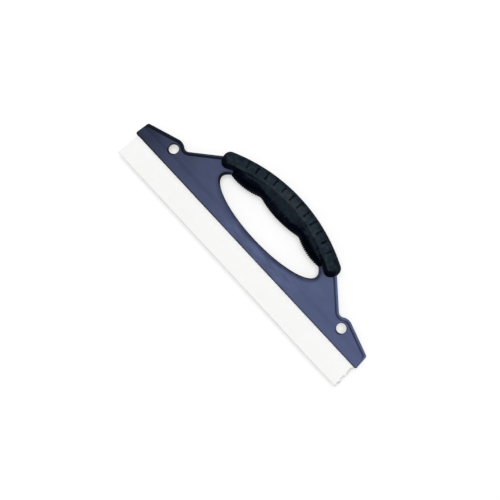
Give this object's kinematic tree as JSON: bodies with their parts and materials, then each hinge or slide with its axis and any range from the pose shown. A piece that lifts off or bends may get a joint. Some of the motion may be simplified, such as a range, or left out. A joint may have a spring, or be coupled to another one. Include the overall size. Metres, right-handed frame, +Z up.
{
  "type": "hand squeegee",
  "caption": "Hand squeegee: flat plastic frame with hanging holes, a rubber-covered bow grip over an oval hand opening, and a flexible silicone blade in a slot along its edge.",
  "frame": {"origin": "under the middle of the object, on the surface it is laid on with its flat side down", "axes": "+X along the blade, +Y from the wiping edge to the grip, +Z up, square to the frame's web"},
  "size_m": [0.3056, 0.0976, 0.022],
  "materials": {
    "frame_plastic": "satin moulded navy blue",
    "palm_rubber": "matt charcoal, fine moulded grain",
    "finger_rubber": "matt black, fine cross ribs",
    "silicone": "soft translucent white"
  },
  "bodies": {
    "handle": {"frame": "frame_plastic", "palm_band": "palm_rubber", "finger_pad": "finger_rubber"},
    "blade_root": {"blade_root": "silicone"},
    "blade_lip": {"blade_lip": "silicone"}
  },
  "joints": [
    {"name": "blade_slide", "type": "slide", "parent": "handle", "child": "blade_root", "axis": [1, 0, 0], "range_m": [0, 0.302]},
    {"name": "blade_flex", "type": "hinge", "parent": "blade_root", "child": "blade_lip", "pos_m": [0, -0.02595, 0.011], "axis": [1, 0, 0], "range_deg": [-45, 45], "stiffness_Nm_per_rad": 0.12}
  ]
}
